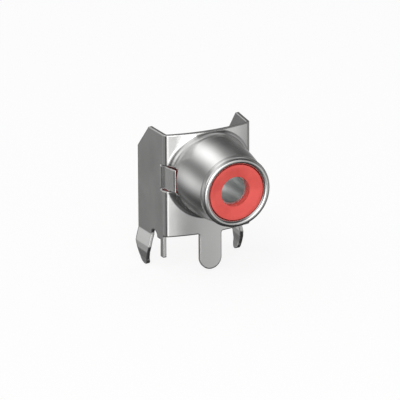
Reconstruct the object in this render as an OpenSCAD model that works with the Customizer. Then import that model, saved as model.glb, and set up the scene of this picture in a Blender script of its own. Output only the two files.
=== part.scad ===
// Right-angle phono socket for a circuit board.
// A folded and drawn sheet-metal shell, a moulded insulator in its barrel and a rolled centre contact.
// Millimetres, +Z up. The barrel points along -Y. The origin lies on the board's surface,
// below the barrel's axis, in the plane through the two front corners of the shell.

/* [Sheet] */
// Thickness of the shell's sheet metal
sheet_t = 0.4; // [0.3:0.05:0.5]
// Outer radius of the two upright corner bends
bend_r = 0.6; // [0.55:0.05:0.8]

/* [Barrel] */
// Height of the barrel's axis above the board
axis_h = 7.1; // [6.5:0.1:9]
// Distance of the mouth from the front corners
barrel_len = 7.8; // [7:0.1:9]
// Diameter over the rolled lip, which the plug's sleeve grips
lip_d = 8.3; // [8.2:0.05:8.6]
// Radius of the rolled lip in section
lip_r = 0.42; // [0.38:0.01:0.45]
// Length of the cylindrical land behind the lip's round nose
land_len = 0.5; // [0.4:0.05:0.7]
// How far the neck behind the lip is drawn in from it
lip_step = 0.1; // [0.05:0.01:0.15]
// How far the barrel widens from the neck to its root
barrel_taper = 0.65; // [0.5:0.05:0.8]
// How far the tapered wall swells beyond a straight cone
barrel_crown = 0.15; // [0.1:0.01:0.2]
// Length of the straight part at the root
root_len = 1.5; // [1.3:0.05:2]
// Radius of the drawn fillet between plate and barrel
root_fillet = 0.7; // [0.4:0.05:0.75]

/* [Front plate] */
// Sheet beside the root of the barrel, out to the corner
plate_side = 0.65; // [0.6:0.05:1.2]
// Sheet above the root of the barrel
plate_top = 0.4; // [0.3:0.05:1.5]
// How far the middle of the plate bulges forward of its corners
plate_bow = 0.8; // [0.5:0.05:1]

/* [Side walls] */
// Depth of the side walls behind the front corners
wall_depth = 6.2; // [5.8:0.1:7.5]
// Angle by which each wall splays outwards towards the back
wall_splay = 4.3; // [2:0.1:6]
// Depth of the peak, where the sloping rear edge starts
peak_depth = 3.6; // [3:0.1:4]
// Drop of the sloping edge from the peak to the rear
slope_drop = 3; // [2:0.1:4]

/* [Snap legs] */
// Width of the leg at the rear of each side wall
snap_w = 3; // [2.4:0.1:3.2]
// Length of the snap legs below the board's surface
snap_len = 4.6; // [4.2:0.1:5]
// Depth of the outward kink below the board's surface
kink_depth = 2.9; // [2.6:0.1:3.2]
// How far the kink stands out from the wall
kink_out = 0.45; // [0.3:0.05:0.6]
// Diameter of the leg's rounded tip
snap_tip_d = 1.5; // [1.2:0.1:1.8]

/* [Front leg] */
// Width of the leg below the middle of the plate
front_leg_w = 2.7; // [2.4:0.1:3]
// Length below the board's surface
front_leg_len = 4.4; // [4:0.1:5]

/* [Locating pin] */
// Distance of the pin behind the front corner
pin_setback = 0.45; // [0.4:0.05:0.6]
// Width of the pin along the side wall
pin_w = 0.6; // [0.5:0.05:0.7]
// Length below the board's surface
pin_len = 2.6; // [2:0.1:3]

/* [Corner tabs] */
// Height of the tab lanced out of each front corner
tab_h = 2.75; // [2.2:0.05:2.9]
// How far the middle of the tab lies below the barrel's axis
tab_drop = 0.1; // [0:0.05:0.2]
// Distance of the tab's root behind the corner
tab_root = 1; // [0.9:0.05:1.2]
// How far the tab steps inwards at its root
tab_step = 0.36; // [0.25:0.01:0.4]
// Length of the tab from the step to its hooked tip
tab_len = 1.85; // [1.6:0.05:1.9]
// Angle of the tab inwards from straight ahead
tab_lean = 8; // [6:1:10]
// Length of the hook at its tip
hook_len = 0.2; // [0.15:0.05:0.25]
// Angle of the hook inwards from straight ahead
hook_lean = 58; // [45:1:65]
// Clear slit above and below the tab
tab_slit = 0.15; // [0.1:0.01:0.2]

/* [Insulator] */
// Diameter of the hole for the plug's pin
hole_d = 3.5; // [3.4:0.05:3.6]
// Distance of the face behind the mouth
face_set = 0.2; // [0.15:0.05:0.4]
// Depth of the dished face at the hole
face_dish = 0.3; // [0.1:0.05:0.4]
// Distance of the flange's back face behind the front corners
flange_back = 1.6; // [1.5:0.1:2]
// Height of the flange above the barrel's axis
flange_rise = 4; // [3.6:0.1:4]
// Gap between the insulator and the metal round it
fit_gap = 0.06; // [0.04:0.01:0.08]

/* [Centre contact] */
// Bore of the rolled contact sleeve
contact_bore = 3.2; // [3.1:0.05:3.25]
// Thickness of the contact's sheet
contact_t = 0.25; // [0.2:0.01:0.26]
// Distance of the sleeve's front end behind the mouth
contact_set = 1.4; // [1.2:0.1:2]
// Width of the seam along the top, which lets the sleeve spring open
seam_w = 0.35; // [0.2:0.05:0.6]
// Width of the solder tail
tail_w = 0.8; // [0.7:0.05:1]
// Length of the tail below the board's surface
tail_len = 3.3; // [2.8:0.1:4]

/* [Hidden] */

fine = 128;
medium = 64;
small = 32;
far = 40;
overlap = 0.3;

// Section of the barrel, as radius and distance ahead of the corners
lip_out = lip_d / 2;
lip_in = lip_out - 2 * lip_r;
lip_at = barrel_len - lip_r;
neck_r = lip_out - lip_step;
neck_at = lip_at - land_len;
root_r = neck_r + barrel_taper;
cone_from = [root_r, root_len];
cone_to = [neck_r, neck_at];
cone_chord = norm(cone_to - cone_from);
cone_r = (cone_chord * cone_chord / 4 + barrel_crown * barrel_crown) / (2 * barrel_crown);
cone_along = (cone_to - cone_from) / cone_chord;
cone_c = (cone_from + cone_to) / 2 + (cone_r - barrel_crown) * [-cone_along[1], cone_along[0]];

// Plan of the folded sheet: bowed front, two bends and two splayed walls
half_w = root_r + plate_side;
plate_h = axis_h + root_r + plate_top;
bow_r = (half_w * half_w + plate_bow * plate_bow) / (2 * plate_bow);
bow_c = [0, bow_r - plate_bow];
wall_out = [cos(wall_splay), -sin(wall_splay)];
wall_back = [sin(wall_splay), cos(wall_splay)];
bend_from = [half_w, 0] - bend_r * wall_out - bow_c;
bend_slide = -bend_from * wall_back
    - sqrt(pow(bend_from * wall_back, 2) - bend_from * bend_from + pow(bow_r - bend_r, 2));
bend_c = bow_c + bend_from + bend_slide * wall_back;
bend_dir = (bend_c - bow_c) / norm(bend_c - bow_c);

// Fillet at the barrel's root: room for it at the sheet's edges, and how far its section is sunk
blend_room = min(plate_side - bend_r / 2, plate_top - 0.05);
blend_skin = 0.04;
blend_deep = sheet_t / 3;

// Legs, pin and the arch between them
skirt = 0.7;
arch_rise = 0.14;
arch_front_r = 0.3;
arch_rear_r = 0.7;
snap_front = wall_depth - snap_w;
snap_tip_r = snap_tip_d / 2;
snap_tip_at = wall_depth - 0.58 * snap_w;
taper_from = kink_depth - 0.7;
leg_root_r = 0.25;

// Corner tabs and their windows, which reach into the root of the barrel
tab_mid = axis_h - tab_drop;
tab_heel = 0.6;
step_run = 0.25;
window_h = tab_h + 2 * tab_slit;
window_in = root_r - 2 * sheet_t;
window_ahead = root_len + 0.2;

// Insulator and contact
shoulder_at = barrel_len - 2 * lip_r - fit_gap;
nose_r = lip_in - fit_gap;
face_at = barrel_len - face_set;
contact_r = contact_bore / 2 + contact_t;
contact_at = barrel_len - contact_set;
contact_end = -flange_back + 0.35;
notch_in = root_r - 1.5 * sheet_t;
notch_ahead = window_ahead + fit_gap;
face_land = 0.3;
tail_lap = 0.6;
tail_bend = 0.3;
flange_slope = 2;

// Turns a profile of radius and distance ahead about the barrel's axis
module along_barrel() {
    translate([0, 0, axis_h]) rotate([90, 0, 0]) children();
}

// Extrudes an outline drawn in depth and height across the whole width
module across(x_from = -far, x_to = far) {
    translate([x_from, 0, 0]) rotate([90, 0, 90]) linear_extrude(x_to - x_from) children();
}

// Extrudes an outline drawn in width and height through the whole depth
module through() {
    translate([0, far, 0]) rotate([90, 0, 0]) linear_extrude(2 * far) children();
}

// Puts its children in the frame of a side wall: x outwards, y backwards, outer face at x = 0
module on_wall(side) {
    mirror([side < 0 ? 1 : 0, 0, 0]) translate([half_w, 0, 0]) rotate([0, 0, -wall_splay]) children();
}

// A strip of sheet along a path of points, round at each bend
module strip(path, thickness) {
    for (i = [0 : len(path) - 2]) {
        step = path[i + 1] - path[i];
        translate(path[i]) rotate(atan2(step[1], step[0]))
            translate([0, -thickness / 2]) square([norm(step), thickness]);
    }
    for (i = [1 : 1 : len(path) - 2]) translate(path[i]) circle(d = thickness, $fn = small);
}

// The plan inside the folded sheet's outer face, drawn in by an inset
module plan(inset, depth) {
    wall_front = bend_c + (bend_r - inset) * wall_out;
    wall_x = half_w - inset / wall_out[0] + depth * tan(wall_splay);
    reach = bend_c + (bend_r + plate_bow + 1) * bend_dir;
    polygon([bend_c, wall_front, [wall_x, depth], [-wall_x, depth], [-wall_front[0], wall_front[1]],
        [-bend_c[0], bend_c[1]]]);
    for (side = [-1, 1]) translate([side * bend_c[0], bend_c[1]]) circle(bend_r - inset, $fn = medium);
    intersection() {
        translate(bow_c) circle(bow_r - inset, $fn = 2 * fine);
        polygon([bend_c, reach, [-reach[0], reach[1]], [-bend_c[0], bend_c[1]]]);
    }
}

// The folded sheet between two heights, before its outline is cut
module folded(low, high) {
    translate([0, 0, low]) linear_extrude(high - low) difference() {
        plan(0, wall_depth);
        plan(sheet_t, wall_depth + 1);
    }
}

// Section of the barrel's crowned wall, drawn in by an inset
module cone_section(inset) {
    square([root_r - inset, root_len + overlap]);
    intersection() {
        translate(cone_c) circle(cone_r - inset, $fn = 8 * fine);
        translate([0, root_len]) square([root_r, neck_at - root_len + overlap]);
    }
}

module lip_section() {
    translate([lip_out - lip_r, lip_at]) circle(lip_r, $fn = medium);
}

// The barrel as a solid plug, out to its sheet's outer face
module barrel_outside() {
    along_barrel() rotate_extrude($fn = fine) {
        cone_section(0);
        translate([0, -overlap]) square([root_r, 2 * overlap]);
        translate([0, neck_at]) square([lip_out, land_len]);
        lip_section();
        translate([0, lip_at]) square([lip_out - lip_r, lip_r]);
    }
}

// The hollow that the sheet of the barrel and its rolled lip leave
module barrel_inside() {
    along_barrel() rotate_extrude($fn = fine) {
        difference() {
            union() {
                cone_section(sheet_t);
                translate([0, neck_at]) square([neck_r - sheet_t, land_len]);
            }
            lip_section();
        }
        translate([0, -1]) square([root_r - sheet_t, 1.5]);
        translate([0, root_len]) square([lip_in, barrel_len]);
    }
}

// Depth of the bowed front face at a distance from the middle
function bowed(x) = bow_c[1] - sqrt(bow_r * bow_r - x * x);

// Width of the root fillet at an angle round the barrel: it narrows where the sheet's edge is near
function blend_width(a) = min(root_fillet, (root_r + blend_room) / max(abs(cos(a)), 0.1) - root_r,
    (root_r + blend_room) / max(sin(a), 0.1) - root_r);

// Fillet between the bowed plate and the barrel: a concave section carried round the barrel
module root_blend() {
    turns = 72;
    arc = [for (a = [15 : 12 : 75]) [1 - cos(a), root_fillet * (1 - sin(a))]];
    count = len(arc) + 5;
    points = [for (i = [0 : turns - 1])
        let (a = i * 360 / turns, width = blend_width(a),
            section = concat([[-blend_skin, root_fillet]], [for (p = arc) [width * p[0], p[1]]],
                [[width + blend_skin, -blend_skin], [width, -blend_deep], [-blend_deep, -blend_deep],
                    [-blend_deep, root_fillet]]))
            for (p = section) let (x = (root_r + p[0]) * cos(a))
                [x, bowed(x) - p[1], axis_h + (root_r + p[0]) * sin(a)]];
    faces = [for (i = [0 : turns - 1], j = [0 : count - 1])
        let (i2 = (i + 1) % turns, j2 = (j + 1) % count)
            [i * count + j, i2 * count + j, i2 * count + j2, i * count + j2]];
    polyhedron(points, faces, convexity = 6);
}

// Outline of a side wall's foot: the skirt below the board's surface, without the arch
module foot_outline(has_pin) {
    difference() {
        translate([has_pin ? pin_setback : snap_front - arch_rear_r, -skirt])
            square([wall_depth, skirt + overlap]);
        translate([snap_front - arch_rear_r, has_pin ? arch_rise - arch_rear_r : -arch_rear_r])
            circle(arch_rear_r, $fn = small);
        translate([0, -skirt - 1]) square([snap_front, has_pin ? 1 + skirt + arch_rise - arch_rear_r : 1]);
    }
}

// The gap between pin and snap leg, round at the top
module arch_outline() {
    front = pin_setback + pin_w;
    height = skirt + 1 + arch_rise;
    translate([front, -skirt - 1]) {
        square([snap_front - front, height - arch_rear_r]);
        square([arch_front_r, height - arch_front_r]);
        translate([arch_front_r, 0]) square([snap_front - front - arch_front_r - arch_rear_r, height]);
        translate([arch_front_r, height - arch_front_r]) circle(arch_front_r, $fn = small);
        translate([snap_front - front - arch_rear_r, height - arch_rear_r]) circle(arch_rear_r, $fn = small);
    }
}

// A kinked leg that snaps into the board, in the frame of its wall
module snap_leg() {
    mid = -sheet_t / 2;
    path = concat([[mid, 0]], [for (a = [0 : 30 : 180])
        [mid + kink_out * sin(a), -skirt - (kink_depth - skirt) * a / 90]]);
    intersection() {
        translate([0, wall_depth + 1, 0]) rotate([90, 0, 0]) linear_extrude(wall_depth) strip(path, sheet_t);
        across() {
            polygon([[snap_front, 0], [wall_depth, 0], [wall_depth, -taper_from],
                [snap_tip_at + snap_tip_r, -snap_len + snap_tip_r],
                [snap_tip_at - snap_tip_r, -snap_len + snap_tip_r], [snap_front, -taper_from]]);
            translate([snap_tip_at, -snap_len + snap_tip_r]) circle(snap_tip_r, $fn = medium);
        }
    }
}

// The leg below the middle of the plate, cut from the bowed sheet
module front_leg() {
    tip_r = front_leg_w / 2;
    intersection() {
        folded(-front_leg_len, overlap);
        through() {
            translate([0, -front_leg_len + tip_r]) circle(tip_r, $fn = medium);
            translate([-tip_r, -front_leg_len + tip_r]) square([front_leg_w, front_leg_len - tip_r + overlap]);
            difference() {
                translate([-tip_r - leg_root_r, -leg_root_r])
                    square([front_leg_w + 2 * leg_root_r, leg_root_r + overlap]);
                for (side = [-1, 1]) translate([side * (tip_r + leg_root_r), -leg_root_r])
                    circle(leg_root_r, $fn = small);
            }
        }
    }
}

// The thin pin under the left front corner
module locating_pin() {
    intersection() {
        folded(-pin_len, overlap);
        across(-far, 0) translate([pin_setback, -pin_len]) square([pin_w, pin_len + overlap]);
    }
}

// The strip lanced out of a front corner: it steps inwards, runs ahead and hooks into the barrel's root
module corner_tab(side) {
    mid = half_w - sheet_t / 2;
    root = [mid + tab_root * tan(wall_splay), tab_root];
    heel = root + tab_heel * wall_back;
    step = root - [tab_step, step_run];
    bend = step - tab_len * [sin(tab_lean), cos(tab_lean)];
    tip = bend - hook_len * [sin(hook_lean), cos(hook_lean)];
    mirror([side < 0 ? 1 : 0, 0, 0]) translate([0, 0, tab_mid - tab_h / 2])
        linear_extrude(tab_h) strip([heel, root, step, bend, tip], sheet_t);
}

// The window that each tab leaves in its corner and in the root of the barrel
module tab_windows() {
    for (side = [0, 1]) mirror([side, 0, 0])
        translate([window_in, -window_ahead, tab_mid - window_h / 2])
            cube([half_w, window_ahead + tab_root, window_h]);
}

module shell() {
    color("silver") {
        difference() {
            union() {
                difference() {
                    folded(0, plate_h);
                    across() polygon([[peak_depth, plate_h], [peak_depth, plate_h + 1],
                        [wall_depth + 1, plate_h + 1], [wall_depth + 1, plate_h - slope_drop],
                        [wall_depth, plate_h - slope_drop]]);
                    across(-far, 0) arch_outline();
                }
                difference() {
                    barrel_outside();
                    translate([0, 0, -1]) linear_extrude(plate_h + 2) plan(sheet_t / 2, wall_depth);
                }
                root_blend();
            }
            barrel_inside();
            tab_windows();
        }
        intersection() {
            folded(-skirt, overlap);
            union() {
                across(-far, 0) foot_outline(true);
                across(0, far) foot_outline(false);
            }
        }
        for (side = [-1, 1]) {
            on_wall(side) snap_leg();
            corner_tab(side);
        }
        front_leg();
        locating_pin();
    }
}

// Outline of the flange seen from behind: down to the board, with sloping upper corners
module flange_outline() {
    top = axis_h + flange_rise;
    polygon([[-half_w, 0], [half_w, 0], [half_w, top - flange_slope], [half_w - flange_slope, top],
        [-half_w + flange_slope, top], [-half_w, top - flange_slope]]);
}

// Notches that clear the corner tabs
module tab_notches() {
    for (side = [0, 1]) mirror([side, 0, 0])
        translate([notch_in, -notch_ahead, tab_mid - window_h / 2]) cube([half_w, far, window_h]);
}

module insulator() {
    color([0.85, 0.28, 0.26]) difference() {
        union() {
            along_barrel() rotate_extrude($fn = fine) {
                difference() {
                    cone_section(sheet_t + fit_gap);
                    translate([0, shoulder_at]) square(far);
                }
                translate([0, -flange_back]) square([root_r - sheet_t - fit_gap, flange_back + overlap]);
                translate([0, root_len]) square([nose_r, face_at - root_len]);
            }
            intersection() {
                translate([0, 0, -1]) linear_extrude(plate_h + 1) plan(sheet_t + fit_gap, flange_back);
                through() flange_outline();
            }
        }
        along_barrel() rotate_extrude($fn = fine) {
            translate([0, -far]) square([contact_r + fit_gap, far + contact_at + fit_gap]);
            square([hole_d / 2, far]);
            polygon([[0, face_at - face_dish], [hole_d / 2, face_at - face_dish],
                [nose_r - face_land, face_at], [nose_r - face_land, far], [0, far]]);
        }
        translate([-tail_w / 2 - fit_gap, flange_back - contact_t - tail_bend, -1])
            cube([tail_w + 2 * fit_gap, far, axis_h + 1]);
        tab_notches();
    }
}

module contact() {
    tail_y = flange_back - contact_t / 2;
    wall_z = axis_h - contact_bore / 2 - contact_t / 2;
    color("gainsboro") {
        difference() {
            along_barrel() rotate_extrude($fn = medium) translate([contact_bore / 2, contact_end])
                square([contact_t, contact_at - contact_end]);
            translate([-seam_w / 2, -far, axis_h]) cube([seam_w, 2 * far, far]);
        }
        across(-tail_w / 2, tail_w / 2) strip([[-contact_end - tail_lap, wall_z],
            [tail_y - tail_bend, wall_z], [tail_y - tail_bend / 3, wall_z - tail_bend * 0.6],
            [tail_y, wall_z - tail_bend * 1.4], [tail_y, -tail_len]], contact_t);
    }
}

shell();
insulator();
contact();
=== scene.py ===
# %% [markdown]
# # A right-angle phono socket
# The socket is one folded and drawn piece of bright plated sheet metal, with a red moulded insulator in its
# barrel and a rolled contact inside that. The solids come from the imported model. This lesson gives them their
# finish, rounds the inner half of the rolled lip, and adds the floor, the light and the camera. Everything is
# in metres, in the model's own frame: the barrel points along -Y and the board would lie at z = 0.

# %% Load the model
import math

import bpy
import numpy as np
from mathutils import Matrix, Vector


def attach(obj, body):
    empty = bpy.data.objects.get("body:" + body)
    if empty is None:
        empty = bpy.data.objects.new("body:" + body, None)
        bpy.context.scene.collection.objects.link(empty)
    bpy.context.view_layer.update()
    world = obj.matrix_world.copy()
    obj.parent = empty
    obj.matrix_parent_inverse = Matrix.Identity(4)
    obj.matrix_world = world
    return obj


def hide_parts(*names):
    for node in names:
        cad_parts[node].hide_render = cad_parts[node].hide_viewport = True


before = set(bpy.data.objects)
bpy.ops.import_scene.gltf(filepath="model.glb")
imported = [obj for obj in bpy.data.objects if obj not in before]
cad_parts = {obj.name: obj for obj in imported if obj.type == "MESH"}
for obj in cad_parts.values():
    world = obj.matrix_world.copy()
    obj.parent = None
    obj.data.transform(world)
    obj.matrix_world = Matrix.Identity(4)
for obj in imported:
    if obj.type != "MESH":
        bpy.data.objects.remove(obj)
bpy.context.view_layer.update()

MM = 0.001
print("nodes:", ", ".join(sorted(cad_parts)))

# %% [markdown]
# ## The camera
# The photo was taken from a little left of the barrel's axis and above it, with a long lens: the barrel's
# ellipses hardly change in shape from root to mouth. A camera could be placed by eye, but it is only three
# axes and a distance, so they are worked out from its angles. The lens then follows from the size that a
# millimetre has in the picture.

# %% Camera
AZIMUTH, ELEVATION, ROLL = math.radians(-25.2), math.radians(20.2), math.radians(0.26)
DISTANCE = 614 * MM
PIXELS_PER_MM = 8.86
PICTURE = 400
SENSOR = 36.0
NEAREST, FARTHEST = 0.05, 10
AXIS_HEIGHT = 7.1 * MM
# Where the barrel's axis meets the plate in the photo, in pixels from the left and from the top
ROOT_ACROSS, ROOT_DOWN = 207.6, 171.4


def camera_axes(azimuth, elevation, roll):
    """Right, up and back of a camera at azimuth from -Y and elevation above the horizon, turned by roll."""
    back = Vector((math.sin(azimuth) * math.cos(elevation), -math.cos(azimuth) * math.cos(elevation),
                   math.sin(elevation)))
    level = Vector((math.cos(azimuth), math.sin(azimuth), 0))
    upright = back.cross(level)
    right = level * math.cos(roll) - upright * math.sin(roll)
    return right, back.cross(right), back


right, up, back = camera_axes(AZIMUTH, ELEVATION, ROLL)
barrel_root = Vector((0, 0, AXIS_HEIGHT))
eye = barrel_root + back * DISTANCE
to_centre = right * (PICTURE / 2 - ROOT_ACROSS) + up * (ROOT_DOWN - PICTURE / 2)
centre_of_view = barrel_root + to_centre * MM / PIXELS_PER_MM
look = (eye - centre_of_view).normalized()
side = up.cross(look).normalized()

camera = bpy.data.objects.new("camera", bpy.data.cameras.new("camera"))
bpy.context.scene.collection.objects.link(camera)
camera.matrix_world = Matrix.Translation(eye) @ Matrix((side, look.cross(side), look)).transposed().to_4x4()
camera.data.sensor_width = SENSOR
camera.data.lens = PIXELS_PER_MM / MM * DISTANCE * SENSOR / PICTURE
camera.data.clip_start, camera.data.clip_end = NEAREST, FARTHEST
bpy.context.scene.camera = camera
print("lens of", round(camera.data.lens), "mm at", round(DISTANCE, 3), "m")

# %% [markdown]
# ## Bright plated sheet
# Tin plate is a soft mirror: it has no colour of its own and shows the studio a little blurred. Rolling
# leaves very fine lines in it, and handling leaves a cloudy sheen, so noise moves the roughness and a faint
# bump breaks the reflections. Punching rounds the edges of the sheet, so they catch a thin line of light. The
# solids have sharp edges there. A Bevel modifier could round them, but it would change the shape, so a Bevel
# node is used: it turns only the light at an edge.


# %% Start a material
def new_material(name):
    """A node material, with its nodes, its links and its shader."""
    material = bpy.data.materials.new(name)
    material.use_nodes = True
    nodes = material.node_tree.nodes
    return material, nodes, material.node_tree.links, nodes["Principled BSDF"]


# %% Noise that stays on the piece
def noise_on_object(nodes, links, scale, detail, stretch=(1, 1, 1)):
    """Noise in the object's own coordinates. A stretch below 1 draws it out along that axis."""
    place = nodes.new("ShaderNodeTexCoord")
    mapping = nodes.new("ShaderNodeMapping")
    mapping.inputs["Scale"].default_value = stretch
    noise = nodes.new("ShaderNodeTexNoise")
    noise.inputs["Scale"].default_value = scale
    noise.inputs["Detail"].default_value = detail
    links.new(place.outputs["Object"], mapping.inputs["Vector"])
    links.new(mapping.outputs["Vector"], noise.inputs["Vector"])
    return noise.outputs["Fac"]


# %% Numbers and colours from noise
# Noise hardly ever leaves this range, so the whole change happens inside it
NOISE_LOW, NOISE_HIGH = 0.3, 0.7


def ramp(nodes, links, noise, low, high):
    """A number that goes evenly from low to high with the noise."""
    change = nodes.new("ShaderNodeMapRange")
    change.inputs["From Min"].default_value = NOISE_LOW
    change.inputs["From Max"].default_value = NOISE_HIGH
    change.inputs["To Min"].default_value = low
    change.inputs["To Max"].default_value = high
    links.new(noise, change.inputs["Value"])
    return change.outputs["Result"]


def tint(nodes, links, noise, dark, light):
    """A colour that goes evenly from dark to light with the noise."""
    colours = nodes.new("ShaderNodeValToRGB")
    first, last = colours.color_ramp.elements
    first.position, last.position = NOISE_LOW, NOISE_HIGH
    first.color, last.color = (*dark, 1), (*light, 1)
    links.new(noise, colours.inputs["Fac"])
    return colours.outputs["Color"]


# %% Relief and soft edges
def bump(nodes, links, height, shader, strength, distance):
    """A fine relief on the shader's normal."""
    relief = nodes.new("ShaderNodeBump")
    relief.inputs["Strength"].default_value = strength
    relief.inputs["Distance"].default_value = distance
    links.new(height, relief.inputs["Height"])
    links.new(relief.outputs["Normal"], shader.inputs["Normal"])
    return relief


def soft_edges(nodes, links, relief, radius, samples=12):
    """Lets light run round the edges under a relief, as if they had this radius."""
    edge = nodes.new("ShaderNodeBevel")
    edge.samples = samples
    edge.inputs["Radius"].default_value = radius
    links.new(edge.outputs["Normal"], relief.inputs["Normal"])


# %% Plated sheet
def plated_sheet():
    """Bright tin plate: pale metal, cloudy roughness and faint rolling lines that run up the sheet."""
    material, nodes, links, shader = new_material("plated_sheet")
    clouds = noise_on_object(nodes, links, scale=260, detail=4)
    lines = noise_on_object(nodes, links, scale=900, detail=2, stretch=(1, 1, 0.06))
    colour = tint(nodes, links, clouds, dark=(0.74, 0.74, 0.73), light=(0.82, 0.82, 0.81))
    shader.inputs["Metallic"].default_value = 1.0
    links.new(colour, shader.inputs["Base Color"])
    links.new(ramp(nodes, links, clouds, low=0.18, high=0.26), shader.inputs["Roughness"])
    relief = bump(nodes, links, lines, shader, strength=0.12, distance=0.01 * MM)
    soft_edges(nodes, links, relief, radius=0.22 * MM)
    return material


finishes = {"shell": plated_sheet()}
print("shell:", finishes["shell"].name, "of", len(finishes["shell"].node_tree.nodes), "nodes")

# %% [markdown]
# ## Red moulded plastic
# The insulator is moulded, with the colour all through it and the soft gloss of the mould's wall. One flat
# red would look like paint, so noise moves it a little, as pigment does, and a fine grain on the normal
# breaks the shine. A picture of plastic could do this too, but noise needs no file and has no seams.


# %% Red plastic
def red_plastic():
    """Moulded red plastic with a soft gloss."""
    material, nodes, links, shader = new_material("moulded_red")
    clouds = noise_on_object(nodes, links, scale=500, detail=4)
    grain = noise_on_object(nodes, links, scale=6000, detail=2)
    colour = tint(nodes, links, clouds, dark=(0.62, 0.070, 0.060), light=(0.72, 0.095, 0.080))
    links.new(colour, shader.inputs["Base Color"])
    links.new(ramp(nodes, links, clouds, low=0.38, high=0.48), shader.inputs["Roughness"])
    shader.inputs["Specular IOR Level"].default_value = 0.45
    bump(nodes, links, grain, shader, strength=0.1, distance=0.01 * MM)
    return material


finishes["insulator"] = red_plastic()
print("insulator:", finishes["insulator"].name, "of", len(finishes["insulator"].node_tree.nodes), "nodes")

# %% [markdown]
# ## The contact's plating
# The contact is rolled from thin brass with tin over it. The eye meets it only down the dark hole, as a
# cooler grey than the shell, so it has the same kind of finish with more roughness. Its grey is also set darker
# than the shell's: partly the duller metal, partly painted shade of the deep hole. It needs no relief, because
# nobody would see one in there.


# %% Plated contact
def contact_plating_with_painted_shade():
    """Tin over brass: cooler than the shell, darker partly as duller metal and partly as painted shade."""
    material, nodes, links, shader = new_material("contact_plating_with_painted_shade")
    clouds = noise_on_object(nodes, links, scale=700, detail=4)
    # Its grey is darker than the shell's: partly duller metal, partly painted shade of the deep hole
    colour = tint(nodes, links, clouds, dark=(0.68, 0.71, 0.70), light=(0.76, 0.79, 0.78))
    shader.inputs["Metallic"].default_value = 1.0
    links.new(colour, shader.inputs["Base Color"])
    links.new(ramp(nodes, links, clouds, low=0.30, high=0.42), shader.inputs["Roughness"])
    return material


finishes["contact"] = contact_plating_with_painted_shade()
print("contact:", finishes["contact"].name, "of", len(finishes["contact"].node_tree.nodes), "nodes")

# %% Give the nodes their finishes
for name, material in finishes.items():
    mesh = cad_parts[name].data
    mesh.materials.clear()
    mesh.materials.append(material)
print("finished nodes:", len(finishes))

# %% [markdown]
# ## The rolled lip
# The barrel's edge is rolled into a round bead, and most of what the eye sees of the lip is light that runs
# over it. In the solid the bead is round outside, but its inner half ends in a flat face and a square edge. A
# Bevel modifier would round every other edge of the sheet as well, so the form is worked out instead. A copy
# of the shell stands for it: the triangles at the square edge are left out, and a quarter circle carried
# round the axis closes the gap. Every other triangle keeps its place and its normals. Corners that lie on the
# same spot are joined, and a sliver with two corners on one spot goes, because it has no area.

# %% Triangles of the solid
LIP_RADIUS = 4.15 * MM
BARREL_LENGTH = 7.8 * MM
BEAD = 0.42 * MM
BEAD_FROM_AXIS = LIP_RADIUS - BEAD
BEAD_DEPTH = BEAD - BARREL_LENGTH


def triangles_of(mesh):
    """Corner points and corner normals of a node's loose triangles, by triangle, corner and axis."""
    points, corners = np.empty(3 * len(mesh.vertices)), np.empty(len(mesh.loops), int)
    normals = np.empty(3 * len(mesh.loops))
    mesh.vertices.foreach_get("co", points)
    mesh.loops.foreach_get("vertex_index", corners)
    mesh.corner_normals.foreach_get("vector", normals)
    return points.reshape(-1, 3)[corners].reshape(-1, 3, 3), normals.reshape(-1, 3, 3)


points, normals = triangles_of(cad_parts["shell"].data)
print("triangles of the shell:", len(points))

# %% Rings of the bead
# A point counts as on a ring when it is this near
NEAR = 0.002 * MM
# Angles that agree to this many decimals of a radian belong to one point
ANGLE_DECIMALS = 5


def on_ring(points, distance, depth):
    """True for the points at a distance from the barrel's axis and a depth along it."""
    away = np.hypot(points[..., 0], points[..., 2] - AXIS_HEIGHT)
    return (abs(away - distance) < NEAR) & (abs(points[..., 1] - depth) < NEAR)


def ring(points, distance, depth):
    """The different points of a ring in order round the axis, and their angles."""
    found = points[on_ring(points, distance, depth)]
    angle = np.arctan2(found[:, 2] - AXIS_HEIGHT, found[:, 0])
    first = np.unique(np.round(angle, ANGLE_DECIMALS), return_index=True)[1]
    return found[first], angle[first]


face_ring, face_angle = ring(points, BEAD_FROM_AXIS, BEAD_DEPTH - BEAD)
wall_ring, wall_angle = ring(points, BEAD_FROM_AXIS - BEAD, BEAD_DEPTH)
print("points on the ring of the face:", len(face_ring), "and of the wall:", len(wall_ring))


# %% Quarter circle round the axis
def bead_grid(steps=9):
    """Points and normals of a quarter circle carried round the axis, from the face ring inwards. With t from
    0 to a quarter turn, distance = centre - bead * sin(t) and depth = centre - bead * cos(t)."""
    t = np.linspace(0, math.pi / 2, steps + 1)[:-1, None]
    normal = np.stack([-np.sin(t) * np.cos(face_angle), -np.cos(t) + 0 * face_angle,
                       -np.sin(t) * np.sin(face_angle)], -1)
    grid = normal * BEAD + [0, BEAD_DEPTH, AXIS_HEIGHT]
    grid[..., 0] += BEAD_FROM_AXIS * np.cos(face_angle)
    grid[..., 2] += BEAD_FROM_AXIS * np.sin(face_angle)
    grid[0] = face_ring
    return grid, normal


def grid_triangles(grid):
    """Two triangles for each cell between a row and the next, closed round the axis."""
    turned = np.roll(grid, -1, axis=1)
    here, beside, across, below = grid[:-1], turned[:-1], turned[1:], grid[1:]
    halves = [np.stack([here, beside, across], 2), np.stack([here, across, below], 2)]
    return np.concatenate([half.reshape(-1, 3, 3) for half in halves])


grid, grid_normal = bead_grid()
print("rows and columns of the bead:", grid.shape[:2])


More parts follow.
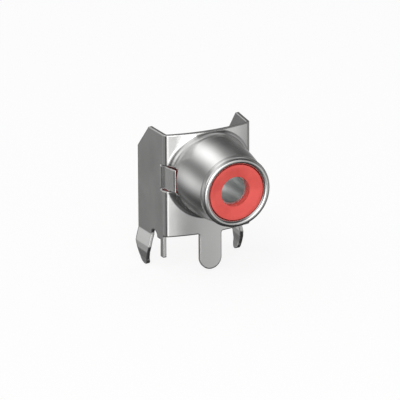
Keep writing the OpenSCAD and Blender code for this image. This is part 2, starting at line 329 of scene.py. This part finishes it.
# %% Strip between the bead and the wall
def strip_corners():
    """Places of the points that join the last row of the bead to the wall ring, which has fewer points. Each
    edge of a ring goes to the point of the other ring that is next round the axis. Gives two tables: row,
    row, wall and wall, wall, row."""
    row_count, wall_count = len(face_angle), len(wall_angle)
    middle = (face_angle + np.append(face_angle[1:], face_angle[0] + 2 * math.pi)) / 2
    ahead = np.searchsorted(np.append(wall_angle, wall_angle + 2 * math.pi), middle)
    edge = np.arange(ahead[-1] - wall_count + 1, ahead[-1] + 1)
    place = np.arange(row_count)
    from_row = np.stack([place, (place + 1) % row_count, ahead % wall_count], -1)
    from_wall = np.stack([(edge - 1) % wall_count, edge % wall_count, np.searchsorted(ahead, edge)], -1)
    return from_row, from_wall


def strip_triangles(row, wall):
    """The triangles between the last row and the wall ring, of points or of normals."""
    from_row, from_wall = strip_corners()
    on_row = [row[from_row[:, 0]], row[from_row[:, 1]], wall[from_row[:, 2]]]
    on_wall = [wall[from_wall[:, 0]], wall[from_wall[:, 1]], row[from_wall[:, 2]]]
    return np.concatenate([np.stack(on_row, 1), np.stack(on_wall, 1)])


wall_normal = np.stack([-np.cos(wall_angle), 0 * wall_angle, -np.sin(wall_angle)], -1)
bead_points = np.concatenate([grid_triangles(grid), strip_triangles(grid[-1], wall_ring)])
bead_normals = np.concatenate([grid_triangles(grid_normal), strip_triangles(grid_normal[-1], wall_normal)])
print("triangles of the bead's inner half:", len(bead_points))

# %% Turn the triangles outwards
turn = np.cross(bead_points[:, 1] - bead_points[:, 0], bead_points[:, 2] - bead_points[:, 0])
inward = (turn * bead_normals.sum(1)).sum(-1) < 0
bead_points[inward], bead_normals[inward] = bead_points[inward][:, ::-1], bead_normals[inward][:, ::-1]
print("triangles that pointed inwards:", int(inward.sum()))

# %% Join the bead and the shell
# Corners are joined where they agree to this many decimals of a millimetre
JOIN_DECIMALS = 4

kept = ~on_ring(points, BEAD_FROM_AXIS - BEAD, BEAD_DEPTH - BEAD).any(1)
points, normals = np.concatenate([points[kept], bead_points]), np.concatenate([normals[kept], bead_normals])
rounded = np.round(points.reshape(-1, 3) / MM, JOIN_DECIMALS)
places, faces = np.unique(rounded, axis=0, return_inverse=True)
faces = faces.reshape(-1, 3)
whole = (faces != np.roll(faces, 1, axis=1)).all(1)
faces, normals = faces[whole], normals[whole]
edges = np.sort(np.stack([faces, np.roll(faces, -1, axis=1)], -1).reshape(-1, 2), axis=1)
uses = np.unique(edges, axis=0, return_counts=True)[1]
print("left out:", int((~kept).sum()), "slivers:", int((~whole).sum()), "open edges:", int((uses != 2).sum()))

# %% Shell with the round bead
shell_mesh = bpy.data.meshes.new("round_lipped_shell")
shell_mesh.from_pydata((places * MM).tolist(), [], faces.tolist())
shell_mesh.shade_smooth()
shell_mesh.normals_split_custom_set(normals.reshape(-1, 3).tolist())
shell_mesh.materials.append(finishes["shell"])
round_lipped_shell = bpy.data.objects.new("round_lipped_shell", shell_mesh)
bpy.context.scene.collection.objects.link(round_lipped_shell)
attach(round_lipped_shell, "root")
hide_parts("shell")
print("faces in the mesh:", len(shell_mesh.polygons))

# %% [markdown]
# ## The floor
# The socket stands on the tips of its legs on a plain pale floor, which keeps its shadow. A photo studio has
# a white sweep for this, curved up behind the object. Here one large square is enough: to the camera it is
# mostly plain white with a part of its lit shade, so the shadow is faint and the far edge doesn't show.


# %% Rays and blends
def mirrored_rays(nodes, links):
    """1 for a ray that metal or glass sends on, otherwise 0."""
    path = nodes.new("ShaderNodeLightPath")
    either = nodes.new("ShaderNodeMath")
    either.operation = "MAXIMUM"
    links.new(path.outputs["Is Glossy Ray"], either.inputs[0])
    links.new(path.outputs["Is Transmission Ray"], either.inputs[1])
    return either.outputs[0]


def blend(nodes, links, factor, shader, other):
    """The first shader where the factor is 0 and the other where it is 1."""
    mix = nodes.new("ShaderNodeMixShader")
    links.new(factor, mix.inputs[0])
    links.new(shader.outputs[0], mix.inputs[1])
    links.new(other.outputs[0], mix.inputs[2])
    return mix


# %% Pale floor
FLOOR_COLOUR = (0.85, 0.85, 0.85, 1)
FLOOR_ROUGHNESS = 0.9
# How much of what the camera sees of the floor is plain white: the rest is its lit shade, with the shadow
PLAIN_WHITE_PART = 0.85


def pale_floor():
    """A pale matt floor that keeps a faint shadow. Metal and glass look through it, at the room."""
    material, nodes, links, shader = new_material("pale_floor")
    shader.inputs["Base Color"].default_value = FLOOR_COLOUR
    shader.inputs["Roughness"].default_value = FLOOR_ROUGHNESS
    white = nodes.new("ShaderNodeEmission")
    clear = nodes.new("ShaderNodeBsdfTransparent")
    path = nodes.new("ShaderNodeLightPath")
    part_white = nodes.new("ShaderNodeMath")
    part_white.operation = "MULTIPLY"
    part_white.inputs[1].default_value = PLAIN_WHITE_PART
    links.new(path.outputs["Is Camera Ray"], part_white.inputs[0])
    seen = blend(nodes, links, part_white.outputs[0], shader, white)
    surface = blend(nodes, links, mirrored_rays(nodes, links), seen, clear)
    links.new(surface.outputs[0], nodes["Material Output"].inputs["Surface"])
    return material


# %% Floor
FLOOR_AT = -4.62 * MM
FLOOR_REACH = 0.6

span = np.linspace(-FLOOR_REACH, FLOOR_REACH, 3)
across, along = np.meshgrid(span, span)
corners = np.stack([across, along, np.full_like(across, FLOOR_AT)], -1).reshape(-1, 3)
floor_mesh = bpy.data.meshes.new("floor")
floor_mesh.from_pydata(corners.tolist(), [], [[0, 1, 4, 3], [1, 2, 5, 4], [3, 4, 7, 6], [4, 5, 8, 7]])
floor_mesh.materials.append(pale_floor())
floor = bpy.data.objects.new("floor", floor_mesh)
bpy.context.scene.collection.objects.link(floor)

# %% [markdown]
# ## The studio
# Bright metal shows nothing but what is round it, and a room that is white all over would leave it flat. So
# the room that the metal sees has white panels with darker gaps between them, as a photographer's boxes of
# light and black cards make. Lamps could be the panels, but they would also light the plastic and the floor.
# Here the room is a pattern on the world, by direction: each panel is a soft round glow at an azimuth and a
# height. Matt surfaces get one plain level, and the camera sees plain white.

# %% Panels
# Azimuth, height and half width in degrees, and strength. Azimuth 0 is the way the barrel points, and seen
# from there negative is left.
PANELS = [
    (-18, -10, 13, 2.2),
    (-10, 11, 13, 3.2),
    (-35, 45, 18, 0.9),
    (-80, 22, 16, 1.1),
    (-110, 60, 22, 0.9),
    (-166, 44, 15, 1.3),
    (180, 10, 13, 1.1),
    (-134, -4, 14, 0.8),
    (20, -20, 11, 0.42),
    (14, 8, 11, 1.2),
    (44, -14, 12, 0.8),
    (-40, -56, 16, 0.1),
    (152, -28, 14, 0.95),
    (-176, -30, 11, 0.45),
    (135, 0, 16, 0.12),
    (80, 12, 14, 0.35),
    (115, 55, 18, 0.5),
    (92, -16, 16, 0.3),
    (-92, -16, 16, 0.3),
]
ROOM_LEVEL = 0.03
MATT_LEVEL = 0.75
WHITE = (1, 1, 1, 1)
strengths = [panel[3] for panel in PANELS]
print("panels:", len(PANELS), "of strength", min(strengths), "to", max(strengths))


# %% Glow of one panel
def toward(azimuth, height):
    """The direction of an azimuth and a height in degrees."""
    azimuth, height = math.radians(azimuth), math.radians(height)
    return (math.sin(azimuth) * math.cos(height), -math.cos(azimuth) * math.cos(height), math.sin(height))


def add_glow(nodes, links, view, level, panel):
    """Adds a soft round glow to a level: strength * exp(sharpness * (cos(angle) - 1)), which is down to half
    where the half width ends."""
    azimuth, height, half_width, strength = panel
    sharpness = math.log(2) / (1 - math.cos(math.radians(half_width)))
    cosine = nodes.new("ShaderNodeVectorMath")
    cosine.operation = "DOT_PRODUCT"
    cosine.inputs[1].default_value = toward(azimuth, height)
    links.new(view, cosine.inputs[0])
    exponent = nodes.new("ShaderNodeMath")
    exponent.operation = "MULTIPLY_ADD"
    exponent.inputs[1].default_value = sharpness
    exponent.inputs[2].default_value = math.log(strength) - sharpness
    links.new(cosine.outputs["Value"], exponent.inputs[0])
    glow = nodes.new("ShaderNodeMath")
    glow.operation = "EXPONENT"
    links.new(exponent.outputs[0], glow.inputs[0])
    total = nodes.new("ShaderNodeMath")
    total.operation = "ADD"
    links.new(level, total.inputs[0])
    links.new(glow.outputs[0], total.inputs[1])
    return total.outputs[0]


# %% World
def background(nodes, strength=1.0):
    """A white background of a strength."""
    light = nodes.new("ShaderNodeBackground")
    light.inputs["Color"].default_value = WHITE
    light.inputs["Strength"].default_value = strength
    return light


def studio_world():
    """The panels for reflections, a plain soft light for everything matt, and plain white for the camera."""
    world = bpy.data.worlds.new("studio")
    world.use_nodes = True
    nodes, links = world.node_tree.nodes, world.node_tree.links
    view = nodes.new("ShaderNodeTexCoord").outputs["Generated"]
    base = nodes.new("ShaderNodeValue")
    base.outputs[0].default_value = ROOM_LEVEL
    level = base.outputs[0]
    for panel in PANELS:
        level = add_glow(nodes, links, view, level, panel)
    room = background(nodes)
    links.new(level, room.inputs["Strength"])
    matt = nodes["Background"]
    matt.inputs["Color"].default_value = WHITE
    matt.inputs["Strength"].default_value = MATT_LEVEL
    path = nodes.new("ShaderNodeLightPath")
    inside = blend(nodes, links, mirrored_rays(nodes, links), matt, room)
    seen = blend(nodes, links, path.outputs["Is Camera Ray"], inside, background(nodes))
    links.new(seen.outputs[0], nodes["World Output"].inputs[0])
    return world


bpy.context.scene.world = studio_world()
print("nodes in the world:", len(bpy.context.scene.world.node_tree.nodes))

# %% [markdown]
# ## The lamp
# Metal gets its look from the panels, but plastic and floor need a light with a direction, which shapes the
# red rim and draws the shadow. One large square lamp up on the left does it softly. It is hidden from
# reflections, because the panels already stand for everything that the metal sees.

# %% Lamp
LAMP_AT = Vector((-0.20, -0.30, 0.35))
LAMP_SIDE = 0.30
LAMP_POWER = 1.2
LIT_POINT = Vector((0, 0, 5 * MM))

lamp = bpy.data.objects.new("key", bpy.data.lights.new("key", "AREA"))
lamp.data.shape = "SQUARE"
lamp.data.size = LAMP_SIDE
lamp.data.energy = LAMP_POWER
lamp.location = LAMP_AT
lamp.rotation_mode = "QUATERNION"
lamp.rotation_quaternion = (LAMP_AT - LIT_POINT).to_track_quat("Z", "Y")
lamp.visible_glossy = False
bpy.context.scene.collection.objects.link(lamp)
print("lamp", round((LAMP_AT - LIT_POINT).length, 2), "m from the socket")

# %% [markdown]
# ## Finish
# The picture is shown through the standard view transform.

# %% Finish
bpy.context.scene.view_settings.view_transform = "Standard"
